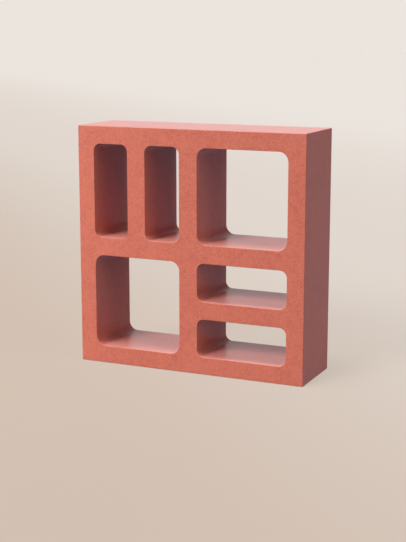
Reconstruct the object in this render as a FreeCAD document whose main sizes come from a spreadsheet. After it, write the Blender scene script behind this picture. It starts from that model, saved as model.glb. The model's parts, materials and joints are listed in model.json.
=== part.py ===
import FreeCAD, Part
import Sketcher
import math
import os

# Breeze block: a square slab of cast concrete with six openings straight through it, front to back.
# It stands on its bed: X across the face, Y through the thickness, Z up. The origin is at the middle
# of the bed, and the show face looks towards -Y. A cross of ribs parts that face into quarters:
#   upper left    two tall slots side by side
#   upper right   one square window
#   lower left    one square window
#   lower right   two wide slots, one above the other

node_name = "breeze_block"
sheet_name = "Sizes"

# Driving dimensions in millimetres. Each one can be set by itself.
driving_sizes = [
    ("block_width", 300, "overall size across the face"),
    ("block_height", 300, "overall size from bed to top"),
    ("block_depth", 90, "overall thickness, face to face"),
    ("outer_wall", 22, "wall all round, between the openings and the outside"),
    ("centre_post", 24, "upright rib between the left and right quarters"),
    ("centre_rail", 23, "level rib between the upper and lower quarters"),
    ("slot_post", 24, "upright rib between the two tall slots"),
    ("slot_rail", 22, "level rib between the two wide slots"),
    ("window_corner", 12, "corner radius of a square window"),
    ("slot_corner", 9, "corner radius of a slot"),
    ("outer_arris", 0.8, "rounding of the block's own twelve edges"),
    ("rim_arris", 0.5, "rounding of each opening's rim, front and back"),
]

# How far an edge may lie from a plane, in millimetres, and still count as lying in it.
plane_tolerance = 0.001
# How far a cut's volume may be off, as a share of it.
volume_tolerance = 1e-6


def make_sheet(doc):
    sheet = doc.addObject("Spreadsheet::Sheet", sheet_name)
    for row, (alias, value, note) in enumerate(driving_sizes, start=1):
        sheet.set(f"A{row}", alias)
        sheet.set(f"B{row}", str(value))
        sheet.set(f"C{row}", note)
        sheet.setAlias(f"B{row}", alias)
    doc.recompute()


def size(alias):
    return f"{sheet_name}.{alias}"


def half(expression):
    return f"({expression}) / 2"


# The quarters that the cross of ribs leaves, as expressions on the sheet.
quarter_width = half(f"{size('block_width')} - 2 * {size('outer_wall')} - {size('centre_post')}")
quarter_height = half(f"{size('block_height')} - 2 * {size('outer_wall')} - {size('centre_rail')}")
left_column = f"{size('outer_wall')} - {half(size('block_width'))}"
right_column = half(size("centre_post"))
lower_row = size("outer_wall")
upper_row = half(f"{size('block_height')} + {size('centre_rail')}")

# A quarter with two slots shares out what their rib leaves.
tall_slot_width = half(f"{quarter_width} - {size('slot_post')}")
wide_slot_height = half(f"{quarter_height} - {size('slot_rail')}")
inner_slot_left = f"{left_column} + {tall_slot_width} + {size('slot_post')}"
upper_slot_bottom = f"{lower_row} + {wide_slot_height} + {size('slot_rail')}"

# name, left edge, bottom edge, width, height, corner radius
openings = [
    ("OuterTallSlot", left_column, upper_row, tall_slot_width, quarter_height, size("slot_corner")),
    ("InnerTallSlot", inner_slot_left, upper_row, tall_slot_width, quarter_height, size("slot_corner")),
    ("UpperWindow", right_column, upper_row, quarter_width, quarter_height, size("window_corner")),
    ("LowerWindow", left_column, lower_row, quarter_width, quarter_height, size("window_corner")),
    ("LowerWideSlot", right_column, lower_row, quarter_width, wide_slot_height, size("slot_corner")),
    ("UpperWideSlot", right_column, upper_slot_bottom, quarter_width, wide_slot_height, size("slot_corner")),
]


def new_sketch(body, name):
    """A sketch on the body's own XZ plane: its x runs along X and its y along Z."""
    plane = next(feature for feature in body.Origin.OriginFeatures if feature.Role == "XZ_Plane")
    sketch = body.newObject("Sketcher::SketchObject", name)
    sketch.AttachmentSupport = [(plane, "")]
    sketch.MapMode = "FlatFace"
    return sketch


def add_dimension(sketch, name, kind, first, second, expression):
    """A named distance between two points of the sketch, bound to the sheet. The axis cross is (-1, 1)."""
    value = float(sketch.evalExpression(expression))
    index = sketch.addConstraint(Sketcher.Constraint(kind, *first, *second, value))
    sketch.renameConstraint(index, name)
    sketch.setExpression(f"Constraints.{name}", expression)


def draw_rectangle(sketch, left, bottom, width, height):
    """Four lines, anticlockwise from the bottom one, placed by their lower left corner."""
    x0, y0, w, h = (float(sketch.evalExpression(text)) for text in (left, bottom, width, height))
    corners = [(x0, y0), (x0 + w, y0), (x0 + w, y0 + h), (x0, y0 + h)]
    points = [FreeCAD.Vector(x, y, 0) for x, y in corners]
    for i in range(4):
        sketch.addGeometry(Part.LineSegment(points[i], points[(i + 1) % 4]))
    for i in range(4):
        sketch.addConstraint(Sketcher.Constraint("Coincident", i, 2, (i + 1) % 4, 1))
        sketch.addConstraint(Sketcher.Constraint("Vertical" if i % 2 else "Horizontal", i))
    add_dimension(sketch, "left", "DistanceX", (-1, 1), (0, 1), left)
    add_dimension(sketch, "bottom", "DistanceY", (-1, 1), (0, 1), bottom)
    add_dimension(sketch, "width", "DistanceX", (0, 1), (0, 2), width)
    add_dimension(sketch, "height", "DistanceY", (1, 1), (1, 2), height)


def draw_rounded_rectangle(sketch, left, bottom, width, height, corner):
    """Four lines and four corner arcs, anticlockwise from the bottom line, each tangent to the next."""
    x0, y0, w, h, r = (
        float(sketch.evalExpression(text)) for text in (left, bottom, width, height, corner)
    )
    x1 = x0 + w
    y1 = y0 + h
    lines = [
        ((x0 + r, y0), (x1 - r, y0)),
        ((x1, y0 + r), (x1, y1 - r)),
        ((x1 - r, y1), (x0 + r, y1)),
        ((x0, y1 - r), (x0, y0 + r)),
    ]
    centres = [(x1 - r, y0 + r), (x1 - r, y1 - r), (x0 + r, y1 - r), (x0 + r, y0 + r)]
    for (start, end), centre, turn in zip(lines, centres, range(4)):
        sketch.addGeometry(Part.LineSegment(FreeCAD.Vector(*start, 0), FreeCAD.Vector(*end, 0)))
        circle = Part.Circle(FreeCAD.Vector(*centre, 0), FreeCAD.Vector(0, 0, 1), r)
        first_angle = (turn - 1) * math.pi / 2
        sketch.addGeometry(Part.ArcOfCircle(circle, first_angle, first_angle + math.pi / 2))
    for turn in range(4):
        line = 2 * turn
        arc = line + 1
        next_line = (line + 2) % 8
        sketch.addConstraint(Sketcher.Constraint("Tangent", line, 2, arc, 1))
        sketch.addConstraint(Sketcher.Constraint("Tangent", arc, 2, next_line, 1))
        sketch.addConstraint(Sketcher.Constraint("Vertical" if turn % 2 else "Horizontal", line))
    for arc in (3, 5, 7):
        sketch.addConstraint(Sketcher.Constraint("Equal", 1, arc))
    radius_index = sketch.addConstraint(Sketcher.Constraint("Radius", 1, r))
    sketch.renameConstraint(radius_index, "corner")
    sketch.setExpression("Constraints.corner", corner)
    add_dimension(sketch, "left", "DistanceX", (-1, 1), (6, 1), left)
    add_dimension(sketch, "bottom", "DistanceY", (-1, 1), (0, 1), bottom)
    add_dimension(sketch, "width", "DistanceX", (6, 1), (2, 1), width)
    add_dimension(sketch, "height", "DistanceY", (0, 1), (4, 1), height)


def pad_slab(doc, body):
    """The whole slab, half of its depth to each side of the XZ plane."""
    sketch = new_sketch(body, "SlabOutline")
    draw_rectangle(
        sketch,
        f"-{half(size('block_width'))}",
        "0",
        size("block_width"),
        size("block_height"),
    )
    pad = body.newObject("PartDesign::Pad", "Slab")
    pad.Profile = sketch
    pad.SideType = "Symmetric"
    pad.setExpression("Length", size("block_depth"))
    doc.recompute()


def pierce(doc, body, name, left, bottom, width, height, corner):
    """One opening with rounded corners, cut straight through both faces."""
    volume_before = body.Shape.Volume
    sketch = new_sketch(body, f"{name}Outline")
    draw_rounded_rectangle(sketch, left, bottom, width, height, corner)
    pocket = body.newObject("PartDesign::Pocket", name)
    pocket.Profile = sketch
    pocket.SideType = "Symmetric"
    pocket.Type = "ThroughAll"
    doc.recompute()
    w, h, r, depth = (
        float(sketch.evalExpression(text)) for text in (width, height, corner, size("block_depth"))
    )
    expected = (w * h - (4 - math.pi) * r**2) * depth
    removed = volume_before - body.Shape.Volume
    if not math.isclose(removed, expected, rel_tol=volume_tolerance):
        raise RuntimeError(f"{name} removed {removed:.0f} mm3, not {expected:.0f} mm3")


def planes_met(edge, box):
    """How many of the slab's six outer planes the whole edge lies in."""
    found = edge.BoundBox
    gaps = [
        max(abs(getattr(found, f"{axis}{end}") - getattr(box, f"{axis}{side}")) for end in ("Min", "Max"))
        for axis in "XYZ"
        for side in ("Min", "Max")
    ]
    return sum(gap < plane_tolerance for gap in gaps)


def edge_names(shape, planes):
    return [
        f"Edge{number}"
        for number, edge in enumerate(shape.Edges, start=1)
        if planes_met(edge, shape.BoundBox) == planes
    ]


def round_edges(doc, body, name, edges, radius):
    base = body.Tip
    fillet = body.newObject("PartDesign::Fillet", name)
    fillet.Base = (base, edges)
    fillet.setExpression("Radius", radius)
    doc.recompute()


def make_block(doc):
    body = doc.addObject("PartDesign::Body", "BreezeBlock")
    body.Label = node_name
    body.Placement = FreeCAD.Placement()
    pad_slab(doc, body)
    for opening in openings:
        pierce(doc, body, *opening)
    # An opening's rim lies in one outer plane, the front or the back, and the block's own edges in two.
    round_edges(doc, body, "RimArrises", edge_names(body.Shape, planes=1), size("rim_arris"))
    round_edges(doc, body, "OuterArrises", edge_names(body.Shape, planes=2), size("outer_arris"))
    return body


def check(doc, body):
    for item in doc.Objects:
        if {"Invalid", "Error"} & set(item.State):
            raise RuntimeError(f"{item.Name} failed: {item.State}")
    if body.Shape.isNull() or not body.Shape.isValid():
        raise RuntimeError(f"{body.Label} has no valid shape")
    if len(body.Shape.Solids) != 1:
        raise RuntimeError(f"{body.Label} is {len(body.Shape.Solids)} solids, not one")


def write_step(body):
    os.makedirs("parts", exist_ok=True)
    body.Shape.exportStep(f"parts/{body.Label}.step")
    box = body.Shape.BoundBox
    print(f"{body.Label}: {box.XLength:.2f} x {box.YLength:.2f} x {box.ZLength:.2f} mm,", end=" ")
    print(f"{body.Shape.Volume / 1e6:.3f} litres, {len(body.Shape.Faces)} faces")


document = FreeCAD.newDocument("BreezeBlock")
make_sheet(document)
block = make_block(document)
check(document, block)
write_step(block)
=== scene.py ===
import json
import math
import bpy
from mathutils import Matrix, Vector, noise
from mathutils.geometry import delaunay_2d_cdt


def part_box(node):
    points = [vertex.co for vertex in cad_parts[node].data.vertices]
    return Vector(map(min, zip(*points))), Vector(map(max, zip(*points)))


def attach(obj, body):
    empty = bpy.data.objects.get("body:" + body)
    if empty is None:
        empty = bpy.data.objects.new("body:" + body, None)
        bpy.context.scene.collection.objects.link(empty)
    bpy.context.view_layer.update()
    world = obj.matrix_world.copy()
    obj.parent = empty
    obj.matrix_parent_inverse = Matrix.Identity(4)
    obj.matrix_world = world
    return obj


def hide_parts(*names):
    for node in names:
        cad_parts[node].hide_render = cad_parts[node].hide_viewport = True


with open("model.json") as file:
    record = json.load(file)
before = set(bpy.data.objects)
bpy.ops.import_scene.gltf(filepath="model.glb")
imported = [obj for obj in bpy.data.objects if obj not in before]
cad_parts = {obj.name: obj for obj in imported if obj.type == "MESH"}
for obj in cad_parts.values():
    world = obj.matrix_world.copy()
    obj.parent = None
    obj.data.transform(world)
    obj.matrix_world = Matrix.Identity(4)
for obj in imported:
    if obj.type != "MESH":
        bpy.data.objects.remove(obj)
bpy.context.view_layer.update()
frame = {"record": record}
blockLow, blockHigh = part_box("breeze_block")
print("loaded the block's frame")


class Wire:
    # a value running between nodes: sums and products of it become Math nodes
    def __init__(self, maker, socket):
        self.maker = maker
        self.socket = socket

    def math(self, operation, *values):
        return self.maker.node("ShaderNodeMath", {"operation": operation}, dict(enumerate(values)))

    def __add__(self, other):
        return self.math("ADD", self, other)

    def __radd__(self, other):
        return self.math("ADD", other, self)

    def __sub__(self, other):
        return self.math("SUBTRACT", self, other)

    def __rsub__(self, other):
        return self.math("SUBTRACT", other, self)

    def __mul__(self, other):
        return self.math("MULTIPLY", self, other)

    def __rmul__(self, other):
        return self.math("MULTIPLY", other, self)

    def clamp(self, low=0.0, high=1.0):
        return self.math("MINIMUM", self.math("MAXIMUM", self, low), high)

    def ramp(self, start, end):
        # 0 below start, 1 above end, smooth between
        return self.maker.node(
            "ShaderNodeMapRange",
            {"interpolation_type": "SMOOTHSTEP"},
            {"Value": self, "From Min": start, "From Max": end},
        )


class ShaderMaker:
    def __init__(self, tree):
        self.tree = tree
        tree.nodes.clear()

    def node(self, kind, settings=None, values=None, output=0):
        made = self.tree.nodes.new(kind)
        for name, setting in (settings or {}).items():
            setattr(made, name, setting)
        for name, value in (values or {}).items():
            if isinstance(value, Wire):
                self.tree.links.new(value.socket, made.inputs[name])
            else:
                made.inputs[name].default_value = value
        return Wire(self, made.outputs[output]) if made.outputs else made

    def mixColour(self, factor, first, second):
        # a colour Mix node has its factor at 0, its two colours at 6 and 7, and its result at 2
        values = {0: factor, 6: first, 7: second}
        return self.node("ShaderNodeMix", {"data_type": "RGBA"}, values, output=2)

    def noise(self, where, scale, detail, roughness):
        values = {"Vector": where, "Scale": scale, "Detail": detail, "Roughness": roughness}
        return self.node("ShaderNodeTexNoise", values=values)

    def along(self, axis, vector):
        return self.node("ShaderNodeSeparateXYZ", values={"Vector": vector}, output=axis)

    def ray(self, kind):
        return self.node("ShaderNodeLightPath", output=f"Is {kind} Ray")

    def seenRays(self):
        # 1 for what is looked at straight, in a gloss or through glass, 0 for light on its way
        return (self.ray("Camera") + self.ray("Glossy") + self.ray("Transmission")).clamp()


def newMaterial(name):
    made = bpy.data.materials.new(name)
    made.use_nodes = True
    return made, ShaderMaker(made.node_tree)


castShape = {
    "windowCorner": 0.012,
    "slotCorner": 0.009,
    "slotBelow": 0.06,          # an opening narrower than this is a slot
    "boxClearance": 0.0002,     # how far the stated openings stand inside the real ones
    "rimArris": 0.0005,
    "outerArris": 0.0008,
    "cornerSteps": 10,
    "arrisSteps": 5,
    "wallSteps": 12,
    "spacing": 0.003,           # between points along a straight edge
    "weldDigits": 7,            # points alike to this many decimals are one point
    "weldWithin": 1e-7,
    "rub": 0.0003,              # about how deep the arrises are rubbed down at most
    "rubScale": 55.0,           # of the rubbed stretches
    "rubFiner": 5.0,            # how much finer the small nicks in them are
    "rubEven": 0.35,
    "rubStretches": 0.90,
    "rubNicks": 0.35,
}


def roundedOutline(x0, z0, x1, z1, radius):
    # points and outward directions, anticlockwise, of a rectangle with rounded corners
    steps = castShape["cornerSteps"]
    points = []
    corners = [(x1, z0, -90), (x1, z1, 0), (x0, z1, 90), (x0, z0, 180)]
    for turn, (x, z, start) in enumerate(corners):
        inX = x - radius if x == x1 else x + radius
        inZ = z - radius if z == z1 else z + radius
        for step in range(steps + 1):
            angle = math.radians(start + 90 * step / steps)
            out = Vector((math.cos(angle), math.sin(angle)))
            points.append((Vector((inX, inZ)) + out * radius, out))
        # the straight edge on to the next corner
        nextX, nextZ, _ = corners[(turn + 1) % 4]
        run = Vector((nextX - x, nextZ - z))
        length = run.length - 2 * radius
        count = max(1, round(length / castShape["spacing"]))
        begin, out = points[-1]
        for step in range(1, count):
            points.append((begin + run.normalized() * length * step / count, out))
    return points


def openingRectangles():
    # each opening's real rectangle and corner radius, from the boxes that the record states,
    # which reach to the middle of each corner's arc
    found = []
    for opening in frame["record"]["physics"]["openings"]:
        (x0, _, z0), (x1, _, z1) = opening["box_m"]
        narrow = min(x1 - x0, z1 - z0) < castShape["slotBelow"]
        corner = castShape["slotCorner"] if narrow else castShape["windowCorner"]
        grow = corner * (1 - math.sqrt(0.5)) + castShape["boxClearance"]
        found.append((x0 - grow, z0 - grow, x1 + grow, z1 + grow, corner))
    return found


def arrisProfile(radius, front, back):
    # stations from front to back: how far into the solid, where in the thickness, how far the
    # surface has turned from face to wall, which face it is nearer to, and how much it wears
    steps = castShape["arrisSteps"]
    turns = [math.radians(90 * step / steps) for step in range(steps + 1)]
    face = [(radius * (1 - math.sin(t)), radius * (1 - math.cos(t)), t, math.sin(2 * t)) for t in turns]
    profile = [(inset, front + depth, t, -1, wear) for inset, depth, t, wear in face]
    walls = castShape["wallSteps"]
    for step in range(1, walls):
        y = front + radius + (back - front - 2 * radius) * step / walls
        profile.append((0.0, y, math.radians(90), -1, 0.0))
    profile += [(inset, back - depth, t, 1, wear) for inset, depth, t, wear in reversed(face)]
    return profile


def rubbedDepth(place):
    # the arrises are rubbed a little unevenly, more in some stretches than in others
    wave = noise.noise(place * castShape["rubScale"])
    fine = noise.noise(place * castShape["rubScale"] * castShape["rubFiner"])
    share = castShape["rubEven"] + castShape["rubStretches"] * wave + castShape["rubNicks"] * fine
    return castShape["rub"] * max(0.0, share)


def loftOutline(mesh, outline, radius, intoSolid, front, back):
    # rings of the outline through the thickness: intoSolid is 1 for an opening, -1 for the outside
    rings = []
    for inset, y, turn, side, wear in arrisProfile(radius, front, back):
        ring = []
        known = {}
        for point, out in outline:
            solid = out * intoSolid
            flat = point + solid * inset
            place = Vector((flat.x, y, flat.y))
            normal = Vector((-solid.x * math.sin(turn), side * math.cos(turn), -solid.y * math.sin(turn)))
            place -= normal * rubbedDepth(place) * wear
            # points of a small corner can meet in one
            spot = tuple(round(v, castShape["weldDigits"]) for v in place)
            if spot not in known:
                known[spot] = len(mesh["places"])
                mesh["places"].append(place)
                mesh["normals"].append(normal.normalized())
                mesh["wear"].append(wear)
            ring.append(known[spot])
        rings.append(ring)
    count = len(outline)
    for first, second in zip(rings, rings[1:]):
        for i in range(count):
            j = (i + 1) % count
            corners = list(dict.fromkeys((first[i], first[j], second[j], second[i])))
            if len(corners) > 2:
                mesh["faces"].append(corners if intoSolid > 0 else corners[::-1])
    return [list(dict.fromkeys(ring)) for ring in (rings[0], rings[-1])]


def capFace(mesh, loops, holes, outward):
    # the flat face between the outer loop and the openings' loops
    ids = [i for loop in loops for i in loop]
    flat = [Vector((mesh["places"][i].x, mesh["places"][i].z)) for i in ids]
    edges = []
    start = 0
    for loop in loops:
        edges += [(start + i, start + (i + 1) % len(loop)) for i in range(len(loop))]
        start += len(loop)
    # 1 keeps only the triangles inside the edges
    _, _, triangles, origins, _, _ = delaunay_2d_cdt(flat, edges, [], 1, castShape["weldWithin"])
    for triangle in triangles:
        corners = [ids[origins[i][0]] for i in triangle]
        middle = sum((mesh["places"][i] for i in corners), Vector()) / 3
        inHole = any(x0 < middle.x < x1 and z0 < middle.z < z1 for x0, z0, x1, z1 in holes)
        if not inHole:
            mesh["faces"].append(corners if outward < 0 else corners[::-1])


def buildBlock():
    mesh = {"places": [], "normals": [], "wear": [], "faces": []}
    front, back = blockLow.y, blockHigh.y
    outer = roundedOutline(blockLow.x, blockLow.z, blockHigh.x, blockHigh.z, castShape["outerArris"])
    loops = [loftOutline(mesh, outer, castShape["outerArris"], -1, front, back)]
    rim = castShape["rimArris"]
    holes = []
    for x0, z0, x1, z1, corner in openingRectangles():
        outline = roundedOutline(x0, z0, x1, z1, corner)
        loops.append(loftOutline(mesh, outline, rim, 1, front, back))
        holes.append((x0 - rim, z0 - rim, x1 + rim, z1 + rim))
    capFace(mesh, [loop[0] for loop in loops], holes, -1)
    capFace(mesh, [loop[1] for loop in loops], holes, 1)
    data = bpy.data.meshes.new("castBlock")
    data.from_pydata(mesh["places"], [], mesh["faces"])
    data.validate()
    data.normals_split_custom_set_from_vertices(mesh["normals"])
    worn = data.attributes.new("arrisWear", "FLOAT", "POINT")
    worn.data.foreach_set("value", mesh["wear"])
    block = bpy.data.objects.new("castBlock", data)
    bpy.context.scene.collection.objects.link(block)
    return block


concreteLook = {
    "coral": (0.590, 0.154, 0.103, 1.0),
    "deep": (0.475, 0.108, 0.070, 1.0),
    "pale": (0.690, 0.245, 0.180, 1.0),     # single grains of sand
    "bloom": (0.760, 0.400, 0.340, 1.0),    # dusty, lime-bloomed cement on rubbed arrises
    "ochre": (0.595, 0.164, 0.090, 1.0),    # where the pigment turned out yellower
    "dust": (0.700, 0.460, 0.475, 1.0),     # settled on what faces up, and partly a painted sheen that lightens level faces toward a pale lilac
    "clouds": (14.0, 4.0, 0.55),            # scale, detail and roughness of each noise
    "blotches": (75.0, 3.0, 0.60),
    "sand": (520.0, 3.0, 0.70),
    "grains": (2300.0, 1.0, 0.50),
    "ochrePatches": (95.0, 2.0, 0.50),
    "ochreShift": (0.4, 0.7, 0.1),          # so that its patches don't follow the blotches
    "toneShares": (0.15, 0.15, 0.70),       # of clouds, blotches and sand
    "toneRamp": (0.40, 0.60),
    "ochreRamp": (0.35, 0.70),
    "ochreShare": 0.35,
    "grainRamp": (0.58, 0.76),
    "grainShare": 0.55,
    "bloomRamp": (0.45, 0.70),
    "bloomShare": 0.06,
    "dustRamp": (0.90, 1.0),                # on how far a surface faces up, 1 for level
    "dustShare": 0.24,
    "pitScale": 150.0,
    "pitRamp": (0.03, 0.12),
    "roughness": 0.36,
    "sandRoughens": 0.20,
    "cloudsRoughen": 0.05,
    "roughest": 0.80,
    "smoothest": 0.15,
    "sandHeight": 0.6,
    "grainHeight": 0.4,
    "pitDepth": 0.8,
    "bumpStrength": 0.35,
    "bumpDistance": 0.00015,
    "ior": 1.5,
}


def concreteMaterial():
    look = concreteLook
    material, make = newMaterial("pigmentedConcrete")
    where = make.node("ShaderNodeTexCoord", output="Object")
    cloud = make.noise(where, *look["clouds"])
    blotch = make.noise(where, *look["blotches"])
    sand = make.noise(where, *look["sand"])
    grains = make.noise(where, *look["grains"])
    shifted = make.node("ShaderNodeVectorMath", {"operation": "ADD"}, {0: where, 1: look["ochreShift"]})
    ochre = make.noise(shifted, *look["ochrePatches"])
    up = make.along("Z", make.node("ShaderNodeNewGeometry", output="Normal"))
    wear = make.node("ShaderNodeAttribute", {"attribute_name": "arrisWear"}, output="Fac")
    cloudShare, blotchShare, sandShare = look["toneShares"]
    tone = (cloud * cloudShare + blotch * blotchShare + sand * sandShare).ramp(*look["toneRamp"])
    colour = make.mixColour(tone, look["deep"], look["coral"])
    colour = make.mixColour(ochre.ramp(*look["ochreRamp"]) * look["ochreShare"], colour, look["ochre"])
    colour = make.mixColour(grains.ramp(*look["grainRamp"]) * look["grainShare"], colour, look["pale"])
    bloomed = wear * blotch.ramp(*look["bloomRamp"]) * look["bloomShare"]
    colour = make.mixColour(bloomed, colour, look["bloom"])
    # dust on level faces, partly a painted sheen: it lightens the top and the openings' floors as a gloss
    # would
    colour = make.mixColour(up.ramp(*look["dustRamp"]) * look["dustShare"], colour, look["dust"])
    spread = {"Vector": where, "Scale": look["pitScale"]}
    pits = 1 - make.node("ShaderNodeTexVoronoi", {"feature": "F1"}, spread).ramp(*look["pitRamp"])
    unevenly = (sand - 0.5) * look["sandRoughens"]
    rough = look["roughness"] + unevenly + (cloud - 0.5) * look["cloudsRoughen"]
    height = sand * look["sandHeight"] + grains * look["grainHeight"] - pits * look["pitDepth"]
    bump = make.node("ShaderNodeBump", values={
        "Strength": look["bumpStrength"],
        "Distance": look["bumpDistance"],
        "Height": height,
    })
    surface = make.node("ShaderNodeBsdfPrincipled", values={
        "Base Color": colour,
        "Roughness": rough.clamp(look["smoothest"], look["roughest"]),
        "IOR": look["ior"],
        "Normal": bump,
    })
    make.node("ShaderNodeOutputMaterial", values={"Surface": surface})
    return material


cameraSetup = {
    "azimuth": 24.50,
    "elevation": 11.29,
    "distance": 1.5014,
    "lens": 81.44,
    "sensor": 36.0,
    "aim": (0.0120, -0.0270, 0.1260),
}


def buildCamera():
    azimuth = math.radians(cameraSetup["azimuth"])
    elevation = math.radians(cameraSetup["elevation"])
    back = Vector((
        math.sin(azimuth) * math.cos(elevation),
        -math.cos(azimuth) * math.cos(elevation),
        math.sin(elevation),
    ))
    lens = bpy.data.cameras.new("viewCamera")
    lens.lens = cameraSetup["lens"]
    lens.sensor_width = cameraSetup["sensor"]
    camera = bpy.data.objects.new("viewCamera", lens)
    camera.location = Vector(cameraSetup["aim"]) + back * cameraSetup["distance"]
    camera.rotation_euler = back.to_track_quat("Z", "Y").to_euler()
    bpy.context.scene.collection.objects.link(camera)
    bpy.context.scene.camera = camera


floorLook = {
    "size": 40.0,
    "near": (0.600, 0.490, 0.412, 1.0),
    "middle": (0.705, 0.632, 0.572, 1.0),
    "far": (0.780, 0.725, 0.670, 1.0),
    "nearAt": -0.8,                         # metres beyond the block, the way viewCamera faces
    "middleAt": 1.6,
    "farAt": 6.0,
    "lighterRight": 2.4,                    # a metre to the right counts as this many beyond, so the right is painted lighter
    "bounce": (0.04, 0.038, 0.038, 1.0),    # what the floor throws back on the block
    "mirrored": (0.29, 0.33, 0.41, 1.0),    # how a gloss on the block sees it
    "glow": 0.85,                           # share of the seen floor that takes no shadow
}


def buildFloor():
    half = floorLook["size"] / 2
    data = bpy.data.meshes.new("studioFloor")
    corners = [(-half, -half, 0), (half, -half, 0), (half, half, 0), (-half, half, 0)]
    data.from_pydata(corners, [], [(0, 1, 2, 3)])
    floor = bpy.data.objects.new("studioFloor", data)
    bpy.context.scene.collection.objects.link(floor)
    material, make = newMaterial("paperFloor")
    where = make.node("ShaderNodeTexCoord", output="Object")
    turn = (0, 0, -math.radians(cameraSetup["azimuth"]))
    turned = make.node("ShaderNodeMapping", {"vector_type": "POINT"}, {"Vector": where, "Rotation": turn})
    # the seen floor is painted lighter further off and to the right: a painted fall of light across it
    reach = make.along("Y", turned) + make.along("X", turned) * floorLook["lighterRight"]
    middle = reach.ramp(floorLook["nearAt"], floorLook["middleAt"])
    far = reach.ramp(floorLook["middleAt"], floorLook["farAt"])
    seen = make.mixColour(middle, floorLook["near"], floorLook["middle"])
    seen = make.mixColour(far, seen, floorLook["far"])
    shown = make.mixColour(make.ray("Camera"), floorLook["mirrored"], seen)
    colour = make.mixColour(make.seenRays(), floorLook["bounce"], shown)
    plain = make.node("ShaderNodeBsdfDiffuse", values={"Color": colour})
    glow = make.node("ShaderNodeEmission", values={"Color": shown, "Strength": 1.0})
    share = make.seenRays() * floorLook["glow"]
    surface = make.node("ShaderNodeMixShader", values={0: share, 1: plain, 2: glow})
    make.node("ShaderNodeOutputMaterial", values={"Surface": surface})
    data.materials.append(material)


airLook = {
    "seen": (0.840, 0.785, 0.730, 1.0),
    "mirroredLeft": (1.0, 0.965, 1.0, 1.0),     # what a gloss sees low down on the left
    "mirroredRight": (0.10, 0.14, 0.18, 1.0),   # and on the right
    "mirroredHigh": (0.02, 0.02, 0.03, 1.0),    # and overhead
    "leftAt": -0.20,                            # on the direction's X
    "rightAt": 0.25,
    "lowBelow": 0.30,                           # and on its Z
    "highAbove": 0.65,
    "light": (0.88, 0.94, 1.0, 1.0),
    "lightStrength": 0.02,
}


def buildAir():
    world = bpy.data.worlds.new("studioAir")
    world.use_nodes = True
    bpy.context.scene.world = world
    make = ShaderMaker(world.node_tree)
    where = make.node("ShaderNodeTexCoord", output="Generated")
    right = make.along("X", where).ramp(airLook["leftAt"], airLook["rightAt"])
    overhead = make.along("Z", where).ramp(airLook["lowBelow"], airLook["highAbove"])
    low = make.mixColour(right, airLook["mirroredLeft"], airLook["mirroredRight"])
    mirrored = make.mixColour(overhead, low, airLook["mirroredHigh"])
    shown = make.mixColour(make.ray("Camera"), mirrored, airLook["seen"])
    faint = {"Color": airLook["light"], "Strength": airLook["lightStrength"]}
    light = make.node("ShaderNodeBackground", values=faint)
    backdrop = make.node("ShaderNodeBackground", values={"Color": shown, "Strength": 1.0})
    mixed = make.node("ShaderNodeMixShader", values={0: make.seenRays(), 1: light, 2: backdrop})
    make.node("ShaderNodeOutputWorld", values={"Surface": mixed})


sunLights = {
    "key": {
        "from": (-0.34, -0.86, 0.66),
        "angle": 26.0,
        "strength": 3.02,
        "colour": (1.0, 1.0, 1.0),
        "mirrored": True,                   # whether a gloss on the block shows it
    },
    "fill": {
        "from": (1.0, -0.15, 0.35),
        "angle": 60.0,
        "strength": 1.62,
        "colour": (0.92, 0.95, 1.0),
        "mirrored": False,
    },
    "behind": {
        "from": (0.0, 1.0, 0.10),
        "angle": 15.0,
        "strength": 1.5,
        "colour": (1.0, 1.0, 1.0),
        "mirrored": False,
    },
    "top": {
        "from": (-0.12, -0.12, 1.0),
        "angle": 20.0,
        "strength": 2.30,
        "colour": (0.96, 1.0, 1.0),
        "mirrored": True,
    },
}

leftGlow = {
    "at": (-0.60, -0.50, 0.20),
    "size": 0.35,
    "power": 1.65,
    "colour": (1.0, 1.0, 1.0),
    "mirrored": False,
}


def placeLamp(name, lamp, look, shinesFrom):
    lamp.color = look["colour"]
    placed = bpy.data.objects.new(name, lamp)
    placed.rotation_euler = Vector(shinesFrom).to_track_quat("Z", "Y").to_euler()
    placed.visible_glossy = look["mirrored"]
    bpy.context.scene.collection.objects.link(placed)
    return placed


def buildLamps():
    for name, look in sunLights.items():
        lamp = bpy.data.lights.new(name, "SUN")
        lamp.energy = look["strength"]
        lamp.angle = math.radians(look["angle"])
        placeLamp(name, lamp, look, look["from"])
    lamp = bpy.data.lights.new("leftGlow", "AREA")
    lamp.energy = leftGlow["power"]
    lamp.size = leftGlow["size"]
    middle = (blockLow + blockHigh) / 2
    placed = placeLamp("leftGlow", lamp, leftGlow, Vector(leftGlow["at"]) - middle)
    placed.location = leftGlow["at"]


block = buildBlock()
block.data.materials.append(concreteMaterial())
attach(block, "root")
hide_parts("breeze_block")
print(f"cast the block: {len(block.data.polygons)} faces")

buildFloor()
buildAir()
print("laid the floor and filled in the air")

buildLamps()
buildCamera()
bpy.context.scene.view_settings.view_transform = "Standard"
print(f"set {len(sunLights) + 1} lamps and the camera")
